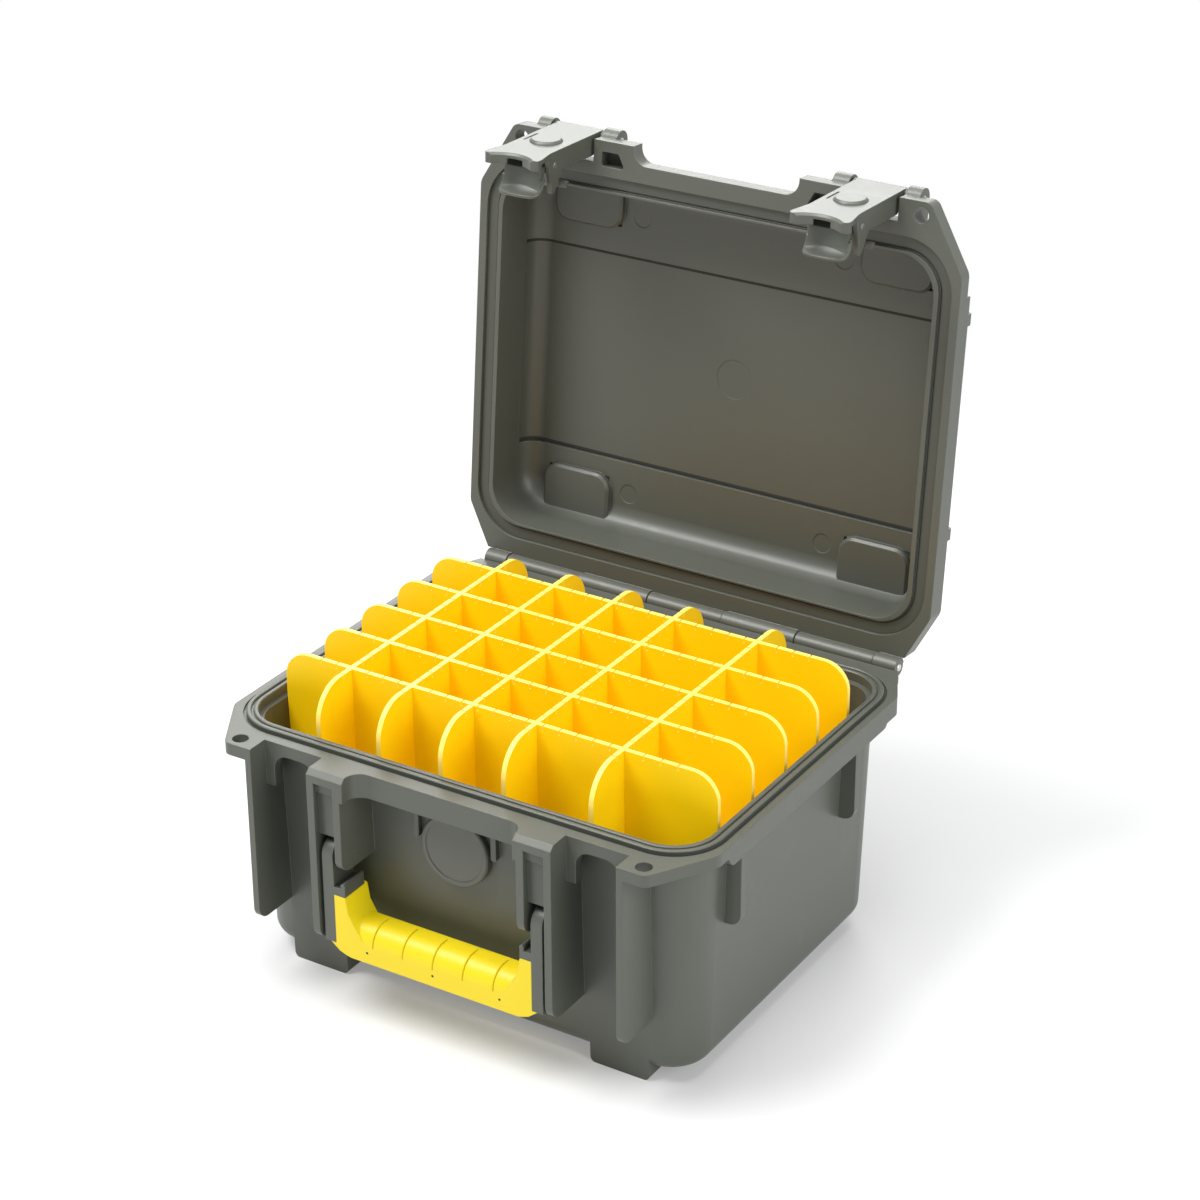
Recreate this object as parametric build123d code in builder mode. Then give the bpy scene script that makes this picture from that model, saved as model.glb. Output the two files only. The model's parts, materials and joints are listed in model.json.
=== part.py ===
"""A moulded carrying case with a tall rack of interlocked dividers, shown open.

Millimetres. +Z is up, the front with the handle looks along -Y, the hinge runs along X at the
back, and the origin is on the floor under the middle of the rack. The lid is drawn closed, on
planes that are then turned about the hinge, so each of its sizes is read on the closed case.
"""

import os
from math import cos, radians, sin, tan

from build123d import *

os.makedirs("parts", exist_ok=True)

# Driving sizes: height of the rim, half the width over the rim, and the rim's reach at the front
rim_height = 134.0
rim_half_width = 139.0
rim_front = 113.0

# Outline of the rim, seen from above
rim_back = rim_front - 0.1
bay_front = rim_front - 2.3
back_chamfer_x = rim_half_width - 12.4
back_chamfer_y = rim_front - 24.5
tab_side_y = rim_front - 23.7
tab_tip_x = rim_half_width - 19.7
tab_front = rim_front + 9.7
rim_corner_radius = 8.0
tab_corner_radius = 5.0
deck_thickness = 6.5
skirt_depth = 12.0
skirt_thickness = 3.6
skirt_end_run = 6.0
front_band_depth = 13.0
eye_x = rim_half_width - 24.3
eye_y = rim_front + 2.9
eye_radius = 4.1
parting_gap = 0.2

# Base body
foot_height = 7.0
floor_thickness = 4.0
body_half_width = rim_half_width - 9.0
body_half_depth = rim_front - 14.5
body_corner_radius = 25.0
body_draft = 1.7
body_bottom_fillet = 8.0
opening_half_width = body_half_width - 4.5
opening_half_depth = body_half_depth - 3.5
opening_radius = 18.0
cavity_floor_chamfer = 5.0
foot_outer_x = body_half_width - body_corner_radius
foot_inner_x = foot_outer_x - 33.0
foot_inner_y = body_half_depth - 28.0
foot_edge_fillet = 3.0
foot_weld = 13.0

# Tongue round the opening, as offsets from the opening edge
ledge_drop = 3.5
tongue_inner = 2.5
tongue_outer = 8.5
tongue_height = 1.8
tongue_groove_width = 1.2
tongue_groove_depth = 1.3
tongue_chamfer = 0.5
rim_groove_width = 1.6
rim_groove_depth = 1.3

# Towers, fins and latch bays on the front wall
fin_inner_x = rim_half_width - 35.1
fin_thickness = 3.3
fin_bottom = 36.5
fin_corner_radius = 7.0
tower_front = rim_front + 11.0
tower_outer_x = rim_half_width - 69.5
tower_inner_x = tower_outer_x - 19.2
tower_rib = 4.0
tower_outer_bottom = 38.0
tower_inner_bottom = rim_height - 53.0
tower_corner_radius = 8.0
tower_sweep_radius = 8.0
tower_top_chamfer = 2.6
catch_front = rim_front + 8.5
catch_thickness = 4.0
catch_bottom = rim_height - 36.0
catch_recess = 1.5
catch_recess_top = rim_height - 12.3
lip_width = 5.2
lip_thickness = 5.6
lip_bottom = rim_height - 24.5
lip_arch_radius = 8.0

# Gusset ribs under the rim, on the sides and the back
side_rib_ys = (-0.65 * body_half_depth, 0.508 * body_half_depth)
back_rib_xs = tuple(share * body_half_width for share in (-0.68, -0.34, 0.34, 0.68))
gusset_thickness = 4.0
gusset_reach = 7.5
gusset_bottom = rim_height - 52.0

# Relief valve in the front wall
valve_height = rim_height - 35.5
valve_cap_radius = 19.3
valve_cap_thickness = 3.2
valve_cap_chamfer = 0.8
valve_face_radius = 16.4
valve_face_recess = 0.4
valve_hole_radius = 7.0
valve_flange_radius = 16.5
valve_flange_thickness = 1.4
valve_washer_radius = 11.0
valve_washer_thickness = 1.5
valve_stem_clearance = 0.15
valve_vent_radius = 3.0
valve_nut_radius = 10.2
valve_nut_thickness = 3.0
valve_rib_x = 22.3
valve_rib_width = 3.0
valve_rib_proud = 3.5
valve_rib_bottom = valve_height + 1.0

# Divider rack
row_pitch = (opening_half_depth + 1.0) / 3
long_ys = tuple(step * row_pitch for step in (-2, -1, 0, 1, 2))
cross_xs = tuple(share * opening_half_width for share in (-0.673, -0.387, -0.1, 0.187, 0.574))
divider_thickness = 2.6
rack_top = rim_height + 24.0
rack_end_gap = 2.1
rack_side_gap = 1.4
long_corner_radius = 14.0
cross_corner_radius = 18.0
divider_foot_chamfer = 8.0
lap_clearance = 0.1
slit_width = 0.8
slit_depth = 2.4
long_slit_pitch = 9.3
cross_slit_pitch = 8.0

# Hinge
hinge_y = rim_back + 5.3
hinge_z = rim_height - 0.8
barrel_radius = 4.5
hinge_pin_radius = 2.0
hinge_shelf_height = 4.2
hinge_shelf_gap = 0.5
hinge_joints = tuple(share * rim_half_width for share in (0.897, 0.801, 0.475, 0.162))
knuckle_gap = 0.4
shaft_clearance = 0.06
open_angle = 95.5

# Lid
lid_half_width = rim_half_width - 9.5
lid_half_depth = rim_front - 13.5
lid_top = rim_height + 37.5
lid_draft = 2.0
lid_top_fillet = 10.0
lid_floor = lid_top - 4.5
lid_deck = 8.6
lid_opening_half_width = opening_half_width - 0.5
lid_opening_half_depth = opening_half_depth + 0.6
lid_opening_radius = 20.0
lid_cavity_draft = 1.5
lid_floor_fillet = 11.0
band_front = 55.0
band_back = 59.0
band_depth = 2.0
socket_inner_x = foot_inner_x - 2.0
socket_outer_x = foot_outer_x + 6.0
socket_inner_y = foot_inner_y - 2.5
socket_side = 1.5
socket_wall = 3.0
socket_depth = 5.5
socket_clearance = 1.0
socket_corner_radius = 9.0
socket_edge_chamfer = 1.4
lid_rib_y = 57.0
lid_rib_width = 6.0
lid_rib_height = 4.0
lid_rib_half_length = lid_half_width - 1.5
lid_nub_fillet = 1.8
ejector_centre_radius = 10.5
ejector_corner_radius = 5.2
ejector_spread_x = 118.0
ejector_spread_y = 153.0
ejector_depth = 0.25
gasket_thickness = 3.0
gasket_face_gap = 0.3
gasket_line_width = 0.7
gasket_line_depth = 0.7
groove_clearance = 0.6
lug_inner_x = tower_inner_x - 2.7
lug_outer_x = tower_outer_x + 1.5
lug_front = rim_front + 9.5
lug_pocket_wall = 4.7
lug_pocket_depth = 7.6
lug_pocket_height = 8.0
lug_pocket_slant = 4.0
lug_pocket_fillet = 1.2

# Latches
latch_x = (fin_inner_x + tower_outer_x) / 2 + 0.05
latch_pivot_y = rim_front + 7.5
latch_pivot_z = rim_height + 12.5
latch_tilt = 3.5
ear_radius = 5.6
ear_inner = (tower_outer_x - 7.5, tower_outer_x + 1.5)
ear_outer = (fin_inner_x - 1.5, fin_inner_x + 6.1)
latch_pin_radius = 1.8
latch_length = 66.0
latch_proud = 4.2
latch_half_width = 13.7
latch_flare = 2.3
latch_flare_length = 16.0
latch_plate = 2.6
latch_wall = 2.5
latch_wall_depth = 11.0
latch_knuckle_radius = 4.2
latch_end_depth = 5.5
latch_corner_length = 4.0
latch_corner_radius = 2.0
latch_flare_radius = 24.0
latch_scoop_half_width = 11.8
latch_scoop_depth = 4.6
latch_scoop_bevel = 1.2
prong_root = 39.0
prong_front = 49.0
prong_depth = 21.5
prong_tip_radius = 0.9
button_at = 33.0
button_radius = 8.5
button_height = 1.5
button_chamfer = 1.1
mark_length = 13.0
mark_width = 1.0
mark_depth = 0.5

# Latch triggers
trigger_at = 46.0
trigger_pin_depth = 7.4
trigger_pin_radius = 1.5
trigger_boss_radius = 3.1
trigger_side_gap = 0.5
trigger_tooth_back = 17.9
trigger_tooth_top = 35.2
trigger_tooth_thickness = 3.0
trigger_tooth_reach = 15.2
trigger_lip_half_width = 12.2
trigger_lip_radius = 3.5
trigger_window = 11.0
spring_wire_radius = 0.4
spring_pitch = 1.3
spring_turns = 2

# Handle
handle_pivot_y = rim_front + 1.5
handle_pivot_z = rim_height - 46.7
handle_pin_radius = 2.5
arm_inner_x = tower_outer_x - 12.5
arm_outer_x = arm_inner_x + 6.4
arm_end_radius = 8.0
grip_half_length = tower_outer_x - 9.5
grip_top_half_length = grip_half_length - 1.4
grip_inner_x = grip_half_length - 9.5
grip_bottom = handle_pivot_z - 54.8
grip_top = grip_bottom + 34.5
grip_front = rim_front + 9.5
grip_depth = 18.5
grip_bar_top = grip_bottom + 20.5
grip_bar_radius = 9.5
grip_back_radius = 4.0
grip_edge_radius = 2.0
grip_flat_half_length = grip_half_length - 18.0
grip_groove_pitch = 17.5
grip_groove_width = 0.7
core_height = 9.0
core_depth = 10.0
shoulder_top = handle_pivot_z - 12.8
hook_width = 2.3
hook_drop = 3.0

body_height = rim_height - foot_height
floor_height = foot_height + floor_thickness
lid_rim = rim_height + parting_gap
draft_slope = tan(radians(body_draft))
foot_reach = body_half_depth - rim_height * draft_slope
foot_top = foot_height + foot_weld
foot_top_reach = body_half_depth - (rim_height - foot_top) * draft_slope
bore_radius = hinge_pin_radius + shaft_clearance
gasket_face = rim_height + tongue_height + gasket_face_gap
lid_turn = Pos(0, hinge_y, hinge_z) * Rot(-open_angle, 0, 0) * Pos(0, -hinge_y, -hinge_z)


def base_level(height):
    return Plane.XY.offset(height)


def side_plane(x):
    """Looks along X: sketch x is the case's Y and sketch y is its Z."""
    return Plane(origin=(x, 0, 0), x_dir=(0, 1, 0), z_dir=(1, 0, 0))


def front_plane(y):
    """Looks at the front: sketch x is the case's X and sketch y is its Z."""
    return Plane(origin=(0, y, 0), x_dir=(1, 0, 0), z_dir=(0, -1, 0))


def lid_plane(plane):
    """Carries a plane of the closed lid round to where the open lid stands."""
    return Plane(lid_turn * plane.location)


def latch_section(x):
    """Sketch x runs down the latch from its pivot, sketch y is depth behind its outer face."""
    tilt = radians(latch_tilt)
    origin = (
        x,
        -latch_pivot_y - latch_proud * cos(tilt),
        latch_pivot_z - latch_proud * sin(tilt),
    )
    return lid_plane(Plane(origin=origin, x_dir=(0, sin(tilt), -cos(tilt)), z_dir=(1, 0, 0)))


def latch_face(x, depth):
    """Looks at the latch from outside: sketch y runs up towards its pivot."""
    section = latch_section(x)
    return Plane(
        origin=section.from_local_coords((0, depth, 0)),
        x_dir=(1, 0, 0),
        z_dir=-section.y_dir,
    )


def rim_outline(tower_inner, tower_outer, tower_reach, tab_inner):
    """Right half of the rim seen from above, with square corners."""
    Polygon(
        (0, rim_back),
        (back_chamfer_x, rim_back),
        (rim_half_width, back_chamfer_y),
        (rim_half_width, -tab_side_y),
        (tab_tip_x, -tab_front),
        (tab_inner, -tab_front),
        (tab_inner, -bay_front),
        (tower_outer, -bay_front),
        (tower_outer, -tower_reach),
        (tower_inner, -tower_reach),
        (tower_inner, -rim_front),
        (0, -rim_front),
        align=None,
    )


def opening_band(outer, inner):
    """A band round the opening of the base, given as two offsets from its edge."""
    for offset, mode in ((outer, Mode.ADD), (inner, Mode.SUBTRACT)):
        RectangleRounded(
            2 * (opening_half_width + offset),
            2 * (opening_half_depth + offset),
            opening_radius + offset,
            mode=mode,
        )


def knuckle_spans(first):
    """Pairs of inner and outer x for every second length of the hinge, from the end or from inside."""
    half_gap = knuckle_gap / 2
    end, outer, middle, inner = hinge_joints
    if first:
        return ((outer + half_gap, end), (inner + half_gap, middle - half_gap))
    return ((middle + half_gap, outer - half_gap),)


with BuildPart() as cavity:
    with BuildSketch(base_level(rim_height + tongue_height)):
        RectangleRounded(2 * opening_half_width, 2 * opening_half_depth, opening_radius)
    extrude(amount=tongue_height, dir=(0, 0, -1))
    with BuildSketch(base_level(rim_height)):
        RectangleRounded(2 * opening_half_width, 2 * opening_half_depth, opening_radius)
    extrude(amount=rim_height - floor_height, dir=(0, 0, -1), taper=body_draft)
    chamfer(cavity.edges().group_by(Axis.Z)[0], cavity_floor_chamfer)

with BuildPart() as feet:
    for side in (-1, 1):
        for end in (-1, 1):
            with BuildSketch(side_plane(side * foot_inner_x)):
                Polygon(
                    (end * foot_inner_y, 0),
                    (end * foot_reach, 0),
                    (end * foot_top_reach, foot_top),
                    (end * foot_inner_y, foot_top),
                    align=None,
                )
            extrude(amount=side * (foot_outer_x - foot_inner_x))
    fillet(feet.edges().filter_by(Axis.Y).group_by(Axis.Z)[0], foot_edge_fillet)

with BuildPart() as base_shell:
    # Drafted tub
    with BuildSketch(base_level(rim_height)):
        RectangleRounded(2 * body_half_width, 2 * body_half_depth, body_corner_radius)
    extrude(amount=body_height, dir=(0, 0, -1), taper=body_draft)
    fillet(base_shell.edges().group_by(Axis.Z)[0], body_bottom_fillet)

    # Feet
    add(feet.part)

    # Rim plate with its tabs and tower tops
    with BuildSketch(base_level(rim_height)) as rim_shape:
        rim_outline(tower_inner_x - 1.8, tower_outer_x, tower_front, fin_inner_x)
        fillet(rim_shape.vertices().sort_by_distance((tower_inner_x, -rim_front))[0], tower_sweep_radius)
        fillet(rim_shape.vertices().group_by(Axis.X)[-1], rim_corner_radius)
        fillet(rim_shape.vertices().sort_by_distance((tab_tip_x, -tab_front))[0], tab_corner_radius)
        mirror(about=Plane.YZ)
    extrude(amount=deck_thickness, dir=(0, 0, -1))

    # Skirt under the rim: a shallow band all along, deeper down the sides
    with BuildSketch(base_level(rim_height - deck_thickness)) as band_shape:
        add(rim_shape.sketch_local)
        offset(rim_shape.sketch_local, amount=-skirt_thickness, mode=Mode.SUBTRACT)
        with Locations((0, -rim_half_width)):
            Rectangle(3 * rim_half_width, 2 * (rim_half_width - tab_side_y + skirt_depth), mode=Mode.SUBTRACT)
    extrude(amount=skirt_depth - deck_thickness - 2, dir=(0, 0, -1))
    for side in (-1, 1):
        with BuildSketch(side_plane(side * rim_half_width)) as drop_shape:
            Polygon(
                (-tab_side_y + skirt_end_run, rim_height - deck_thickness / 2),
                (-tab_side_y + 2 * skirt_end_run, rim_height - skirt_depth),
                (back_chamfer_y - 2 * skirt_end_run, rim_height - skirt_depth),
                (back_chamfer_y - skirt_end_run, rim_height - deck_thickness / 2),
                align=None,
            )
            fillet(drop_shape.vertices().group_by(Axis.Y)[0], 4)
        extrude(amount=skirt_thickness, dir=(-side, 0, 0))

    # Front band between the towers
    with BuildSketch(base_level(rim_height)):
        add(rim_shape.sketch_local)
        offset(rim_shape.sketch_local, amount=-lip_thickness, mode=Mode.SUBTRACT)
        with Locations((0, -body_half_depth)):
            Rectangle(2 * tower_inner_x + 2, tower_front, align=(Align.CENTER, Align.MAX), mode=Mode.INTERSECT)
    extrude(amount=front_band_depth, dir=(0, 0, -1))

    # Gussets that carry the rim
    for side in (-1, 1):
        for rib_y in side_rib_ys:
            with BuildSketch(Plane.XZ.offset(-rib_y)) as gusset_shape:
                with Locations((side * (body_half_width - 4), gusset_bottom)):
                    Rectangle(4 + gusset_reach, rim_height - 4 - gusset_bottom,
                              align=(Align.MIN if side > 0 else Align.MAX, Align.MIN))
                outer_corner = gusset_shape.vertices().group_by(Axis.Y)[0].sort_by(Axis.X)[-1 if side > 0 else 0]
                fillet(outer_corner, gusset_reach - 1)
            extrude(amount=gusset_thickness / 2, both=True)
    for rib_x in back_rib_xs:
        with BuildSketch(side_plane(rib_x)) as gusset_shape:
            Polygon(
                (body_half_depth - 4, gusset_bottom + 6),
                (body_half_depth + 1, gusset_bottom + 6),
                (rim_back - skirt_thickness + 0.5, rim_height - skirt_depth),
                (rim_back - skirt_thickness + 0.5, rim_height - 4),
                (body_half_depth - 4, rim_height - 4),
                align=None,
            )
        extrude(amount=gusset_thickness / 2, both=True)

    # Outer fins, towers and the panels between their ribs
    wall_root = body_half_depth - body_height * draft_slope - 2
    rib_walls = (
        (fin_inner_x, fin_thickness, tab_front, fin_bottom, fin_corner_radius),
        (tower_outer_x - tower_rib, tower_rib, tower_front, tower_outer_bottom, tower_corner_radius),
        (tower_inner_x, tower_rib, tower_front, tower_inner_bottom, fin_corner_radius),
    )
    for start, thickness, reach, bottom, radius in rib_walls:
        for side in (-1, 1):
            with BuildSketch(side_plane(side * start)) as rib_shape:
                with Locations((-wall_root, bottom)):
                    Rectangle(reach - wall_root, rim_height - 2 - bottom, align=(Align.MAX, Align.MIN))
                fillet(rib_shape.vertices().sort_by_distance((-reach, bottom))[0], radius)
            extrude(amount=side * thickness)
    for side in (-1, 1):
        channel_centre = side * (tower_inner_x + tower_outer_x) / 2
        with BuildSketch(front_plane(-catch_front)):
            with Locations((channel_centre, catch_bottom)):
                Rectangle(tower_outer_x - tower_inner_x - tower_rib, rim_height - 2 - catch_bottom,
                          align=(Align.CENTER, Align.MIN))
        extrude(amount=-catch_thickness)
        with BuildSketch(front_plane(-catch_front)):
            with Locations((channel_centre, catch_bottom)):
                Rectangle(tower_outer_x - tower_inner_x - 2 * tower_rib, catch_recess_top - catch_bottom,
                          align=(Align.CENTER, Align.MIN))
        extrude(amount=-catch_recess, mode=Mode.SUBTRACT)

    tower_edges = base_shell.edges().filter_by(Axis.X).group_by(Axis.Z)[-1].group_by(Axis.Y)[0]
    chamfer(tower_edges, tower_top_chamfer)

    # Arched lips the latches hook behind
    for side in (-1, 1):
        bay_width = fin_inner_x - tower_outer_x
        bay_centre = side * (fin_inner_x + tower_outer_x) / 2
        with BuildSketch(front_plane(-bay_front)):
            with Locations((bay_centre, lip_bottom)):
                Rectangle(bay_width, rim_height - 2 - lip_bottom, align=(Align.CENTER, Align.MIN))
        extrude(amount=-lip_thickness)
        with BuildSketch(front_plane(-bay_front)) as arch_shape:
            with Locations((bay_centre, lip_bottom)):
                Rectangle(bay_width - 2 * lip_width, rim_height - deck_thickness - lip_bottom,
                          align=(Align.CENTER, Align.MIN))
            fillet(arch_shape.vertices().group_by(Axis.Y)[-1], lip_arch_radius)
        extrude(amount=-lip_thickness, mode=Mode.SUBTRACT)

    # Seat of the relief valve and the two short ribs beside it
    seat_front = body_half_depth - (rim_height - valve_height) * draft_slope + 1
    seat_back = seat_front - 5.6
    with BuildSketch(front_plane(-seat_front)):
        with Locations((0, valve_height)):
            Circle(valve_cap_radius - 1.5)
    extrude(amount=-3)
    with BuildSketch(front_plane(-seat_front - valve_rib_proud + 1)) as valve_rib_shape:
        for side in (-1, 1):
            with Locations((side * valve_rib_x, valve_rib_bottom)):
                Rectangle(valve_rib_width, rim_height - 8 - valve_rib_bottom, align=(Align.CENTER, Align.MIN))
        fillet(valve_rib_shape.vertices().group_by(Axis.Y)[0], valve_rib_width / 2 - 0.1)
    extrude(amount=-valve_rib_proud - 2)

    # Cavity, then the flat pad inside it for the valve nut
    add(cavity.part, mode=Mode.SUBTRACT)
    with BuildSketch(front_plane(-seat_back)):
        with Locations((0, valve_height)):
            Circle(valve_nut_radius + 0.4)
    extrude(amount=2.5)
    with BuildSketch(front_plane(-seat_front)):
        with Locations((0, valve_height)):
            Circle(valve_hole_radius + valve_stem_clearance)
    extrude(amount=-8, mode=Mode.SUBTRACT)
    with BuildSketch(front_plane(-seat_front)):
        with Locations((0, valve_height)):
            Circle(valve_washer_radius)
            Circle(valve_hole_radius, mode=Mode.SUBTRACT)
    extrude(amount=-valve_washer_thickness, mode=Mode.SUBTRACT)

    # Ledge, double tongue and the gutter outside it
    with BuildSketch(base_level(rim_height)):
        opening_band(tongue_outer, tongue_inner)
    extrude(amount=tongue_height)
    with BuildSketch(base_level(rim_height)):
        opening_band(tongue_inner, -1)
    extrude(amount=ledge_drop, dir=(0, 0, -1), mode=Mode.SUBTRACT)
    tongue_middle = (tongue_inner + tongue_outer) / 2
    with BuildSketch(base_level(rim_height + tongue_height)):
        opening_band(tongue_middle + tongue_groove_width / 2, tongue_middle - tongue_groove_width / 2)
    extrude(amount=tongue_groove_depth, dir=(0, 0, -1), mode=Mode.SUBTRACT)
    chamfer(base_shell.faces().group_by(Axis.Z)[-1].edges(), tongue_chamfer)
    with BuildSketch(base_level(rim_height)):
        opening_band(tongue_outer + rim_groove_width, tongue_outer)
    extrude(amount=rim_groove_depth, dir=(0, 0, -1), mode=Mode.SUBTRACT)

    # Shelf under the hinge, then the knuckles on their web
    with BuildSketch(side_plane(-hinge_joints[0])):
        with Locations((rim_back - 2, hinge_z - barrel_radius - hinge_shelf_gap)):
            Rectangle(hinge_y - rim_back + 2, hinge_shelf_height, align=(Align.MIN, Align.MAX))
    extrude(amount=2 * hinge_joints[0])
    for side in (-1, 1):
        for inner, outer in knuckle_spans(True):
            with BuildSketch(side_plane(side * inner)):
                with Locations((rim_back - 2, hinge_z - barrel_radius)):
                    Rectangle(hinge_y - rim_back + 2, barrel_radius + 0.6, align=(Align.MIN, Align.MIN))
                with Locations((hinge_y, hinge_z)):
                    Circle(barrel_radius)
            extrude(amount=side * (outer - inner))
    with BuildSketch(side_plane(-hinge_joints[0])):
        with Locations((hinge_y, hinge_z)):
            Circle(bore_radius)
    extrude(amount=2 * hinge_joints[0], mode=Mode.SUBTRACT)

    # Padlock eyes and the pivot bores of the handle
    with BuildSketch(base_level(rim_height)):
        with Locations((-eye_x, -eye_y), (eye_x, -eye_y)):
            Circle(eye_radius)
    extrude(amount=rim_height - fin_bottom, dir=(0, 0, -1), mode=Mode.SUBTRACT)
    for side in (-1, 1):
        with BuildSketch(side_plane(side * (tower_inner_x - 1))):
            with Locations((-handle_pivot_y, handle_pivot_z)):
                Circle(handle_pin_radius)
        extrude(amount=side * (tower_outer_x - tower_inner_x - tower_rib / 2 + 1), mode=Mode.SUBTRACT)

with BuildPart() as hinge_pin:
    with BuildSketch(side_plane(-hinge_joints[0] - 0.5)):
        with Locations((hinge_y, hinge_z)):
            Circle(hinge_pin_radius)
    extrude(amount=2 * hinge_joints[0] + 1)
    chamfer(hinge_pin.edges(), 0.5)

with BuildPart() as valve_body:
    with BuildSketch(front_plane(-seat_front)):
        with Locations((0, valve_height)):
            Circle(valve_flange_radius)
    extrude(amount=valve_flange_thickness)
    with BuildSketch(front_plane(-seat_front)):
        with Locations((0, valve_height)):
            Circle(valve_hole_radius)
    extrude(amount=-(seat_front - seat_back + valve_nut_thickness + 0.6))
    with BuildSketch(front_plane(-seat_front - valve_flange_thickness)):
        with Locations((0, valve_height)):
            Circle(valve_vent_radius)
    extrude(amount=-15, mode=Mode.SUBTRACT)
    with BuildSketch(front_plane(-seat_front - valve_flange_thickness)):
        with Locations((0, valve_height)):
            Circle(2 * valve_vent_radius)
    extrude(amount=-0.8, mode=Mode.SUBTRACT)

with BuildPart() as valve_membrane:
    with BuildSketch(front_plane(-seat_front - valve_flange_thickness + 0.8)):
        with Locations((0, valve_height)):
            Circle(2 * valve_vent_radius - 0.1)
    extrude(amount=0.4)

with BuildPart() as valve_seal:
    with BuildSketch(front_plane(-seat_front)):
        with Locations((0, valve_height)):
            Circle(valve_washer_radius)
            Circle(valve_hole_radius + valve_stem_clearance, mode=Mode.SUBTRACT)
    extrude(amount=-valve_washer_thickness)

with BuildPart() as valve_nut:
    with BuildSketch(front_plane(-seat_back)):
        with Locations((0, valve_height)):
            RegularPolygon(valve_nut_radius, 6)
            Circle(valve_hole_radius, mode=Mode.SUBTRACT)
    extrude(amount=-valve_nut_thickness)

with BuildPart() as valve_cap:
    with BuildSketch(front_plane(-seat_front)):
        with Locations((0, valve_height)):
            Circle(valve_cap_radius)
    extrude(amount=valve_cap_thickness)
    chamfer(valve_cap.edges().group_by(Axis.Y)[0], valve_cap_chamfer)
    with BuildSketch(front_plane(-seat_front - valve_cap_thickness)):
        with Locations((0, valve_height)):
            Circle(valve_face_radius)
    extrude(amount=-valve_face_recess, mode=Mode.SUBTRACT)
    with BuildSketch(front_plane(-seat_front)):
        with Locations((0, valve_height)):
            Circle(valve_flange_radius)
    extrude(amount=valve_flange_thickness, mode=Mode.SUBTRACT)
    # Four breather slots out of the rim of the cap
    with BuildSketch(front_plane(-seat_front)):
        with Locations((0, valve_height)):
            with PolarLocations(valve_cap_radius - 1, 4, start_angle=45):
                Rectangle(5, 2)
    extrude(amount=1, mode=Mode.SUBTRACT)


def divider(section, half_top, corner_radius, crossings, slit_pitch, slots_up):
    """Upright wall of the rack: draughted ends, slits along its top, half-height slots to cross others."""
    half_foot = half_top - (rim_height - floor_height) * draft_slope
    middle = (rack_top + floor_height) / 2
    with BuildSketch(section) as wall_shape:
        Polygon(
            (-half_foot + divider_foot_chamfer, floor_height),
            (half_foot - divider_foot_chamfer, floor_height),
            (half_foot, floor_height + divider_foot_chamfer),
            (half_top, rim_height),
            (half_top, rack_top),
            (-half_top, rack_top),
            (-half_top, rim_height),
            (-half_foot, floor_height + divider_foot_chamfer),
            align=None,
        )
        fillet(wall_shape.vertices().group_by(Axis.Y)[-1], corner_radius)
        slit_count = int((half_top - corner_radius) / slit_pitch)
        for step in range(-slit_count, slit_count + 1):
            place = step * slit_pitch
            if all(abs(place - crossing) > divider_thickness for crossing in crossings):
                with Locations((place, rack_top)):
                    Rectangle(slit_width, slit_depth, align=(Align.CENTER, Align.MAX), mode=Mode.SUBTRACT)
        for crossing in crossings:
            with Locations((crossing, middle)):
                Rectangle(divider_thickness + 2 * lap_clearance, rack_top - middle,
                          align=(Align.CENTER, Align.MIN if slots_up else Align.MAX), mode=Mode.SUBTRACT)
    extrude(wall_shape.sketch, amount=divider_thickness / 2, both=True)


long_dividers = []
for long_y in long_ys:
    with BuildPart() as long_divider:
        divider(front_plane(long_y), opening_half_width - rack_side_gap, long_corner_radius, cross_xs,
                long_slit_pitch, False)
    long_dividers.append(long_divider.part)

cross_dividers = []
for cross_x in cross_xs:
    with BuildPart() as cross_divider:
        divider(side_plane(cross_x), opening_half_depth - rack_end_gap, cross_corner_radius, long_ys,
                cross_slit_pitch, True)
    cross_dividers.append(cross_divider.part)

lid_frame = Plane(lid_turn)
lid_up = Axis(lid_frame.origin, lid_frame.z_dir)
lid_deck_top = lid_rim + lid_deck
lid_wall_height = lid_top - lid_rim

with BuildPart() as lid_cavity:
    with BuildSketch(lid_plane(base_level(lid_rim))):
        RectangleRounded(2 * lid_opening_half_width, 2 * lid_opening_half_depth, lid_opening_radius)
    extrude(amount=lid_floor - lid_rim, taper=lid_cavity_draft)
    fillet(lid_cavity.edges().group_by(lid_up)[-1], lid_floor_fillet)

with BuildPart() as lid_band:
    with BuildSketch(lid_plane(base_level(lid_floor + band_depth))):
        with Locations((0, (band_back - band_front) / 2)):
            Rectangle(2 * lid_opening_half_width - 1, band_front + band_back)
    extrude(amount=-lid_floor_fillet)
    band_ends = lid_band.edges().filter_by(GeomType.LINE).group_by(lid_up)[-1]
    fillet(band_ends.group_by(Axis.X)[0] + band_ends.group_by(Axis.X)[-1], lid_floor_fillet - band_depth)

with BuildPart() as socket_bosses:
    with BuildSketch(lid_plane(base_level(lid_floor + 1))) as boss_shape:
        for side in (-1, 1):
            for end in (-1, 1):
                with Locations((side * socket_inner_x, end * socket_inner_y)):
                    Rectangle(socket_outer_x - socket_inner_x, lid_half_depth - 3 - socket_inner_y,
                              align=(Align.MIN if side > 0 else Align.MAX, Align.MIN if end > 0 else Align.MAX))
        boss_corners = boss_shape.vertices().group_by(Axis.Y)
        fillet(boss_corners[1] + boss_corners[2], socket_corner_radius)
    extrude(amount=-(socket_depth + socket_wall - (lid_top - lid_floor) + 1))
    chamfer(socket_bosses.faces().group_by(lid_up)[0].edges(), socket_edge_chamfer)

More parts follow.
